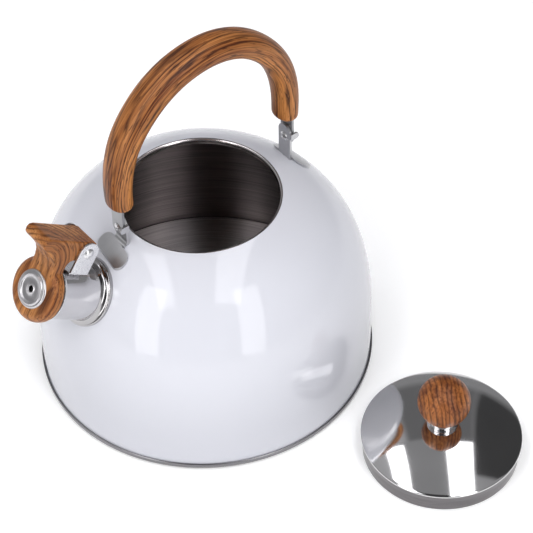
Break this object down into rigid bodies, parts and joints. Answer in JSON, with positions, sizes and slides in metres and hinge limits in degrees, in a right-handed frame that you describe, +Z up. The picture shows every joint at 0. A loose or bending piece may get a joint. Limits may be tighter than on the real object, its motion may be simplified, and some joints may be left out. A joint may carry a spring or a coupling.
{
  "type": "stovetop whistling kettle",
  "caption": "Domed steel kettle with a short whistle spout and flip lever, an arched fold-down handle, and a lift-off lid with a ball knob lying beside it.",
  "frame": {"origin": "centre of the kettle's flat base, on the surface it stands on", "axes": "+Z up along the body's axis, the spout points towards -X, the handle's arch lies in the XZ plane and the lid lies on the -Y side"},
  "size_m": [0.2349, 0.3155, 0.2421],
  "materials": {
    "white_enamel": "glossy white enamel outside, bare brushed steel inside",
    "brushed_steel": "brushed stainless steel",
    "satin_steel": "satin stamped stainless steel",
    "polished_steel": "mirror-polished stainless steel",
    "aluminium_core": "plain aluminium, hidden in the base",
    "wood_look_plastic": "satin moulding with a wood-grain print",
    "black_silicone": "matt black silicone",
    "spring_steel": "plain steel wire and pins",
    "brass_insert": "plain brass, hidden in the knob"
  },
  "bodies": {
    "kettle": {"body_shell": "white_enamel", "base_pan": "brushed_steel", "base_cap": "brushed_steel", "heat_spreader_disc": "aluminium_core", "spout_tube": "polished_steel", "spout_flange": "polished_steel", "lever_bracket": "satin_steel", "lever_pivot_rivet": "satin_steel", "lever_spring": "spring_steel", "front_handle_bracket": "satin_steel", "rear_handle_bracket": "satin_steel", "front_handle_rivet": "satin_steel", "rear_handle_rivet": "satin_steel"},
    "handle": {"handle_grip": "wood_look_plastic", "front_handle_strap": "satin_steel", "rear_handle_strap": "satin_steel", "front_grip_pin": "spring_steel", "rear_grip_pin": "spring_steel"},
    "lever": {"whistle_lever": "wood_look_plastic", "whistle_face": "polished_steel", "whistle_cup": "brushed_steel", "spout_seal": "black_silicone"},
    "lid": {"lid_shell": "polished_steel", "knob_ferrule": "polished_steel", "lid_knob": "wood_look_plastic", "knob_threaded_insert": "brass_insert", "lid_washer": "brushed_steel", "lid_screw": "satin_steel"}
  },
  "joints": [
    {"name": "handle_fold", "type": "hinge", "parent": "kettle", "child": "handle", "pos_m": [0, 0, 0.1381], "axis": [-1, 0, 0], "range_deg": [0, 96]},
    {"name": "lever_open", "type": "hinge", "parent": "kettle", "child": "lever", "pos_m": [-0.0866, 0, 0.14338], "axis": [0, 1, 0], "range_deg": [0, 60], "stiffness_Nm_per_rad": 0.02, "springref_deg": -34.38, "deforming": ["lever_spring"]},
    {"name": "lid_lift", "type": "slide", "parent": "kettle", "child": "lid", "axis": [0, 0, 1], "range_m": [0, 0.2]}
  ]
}
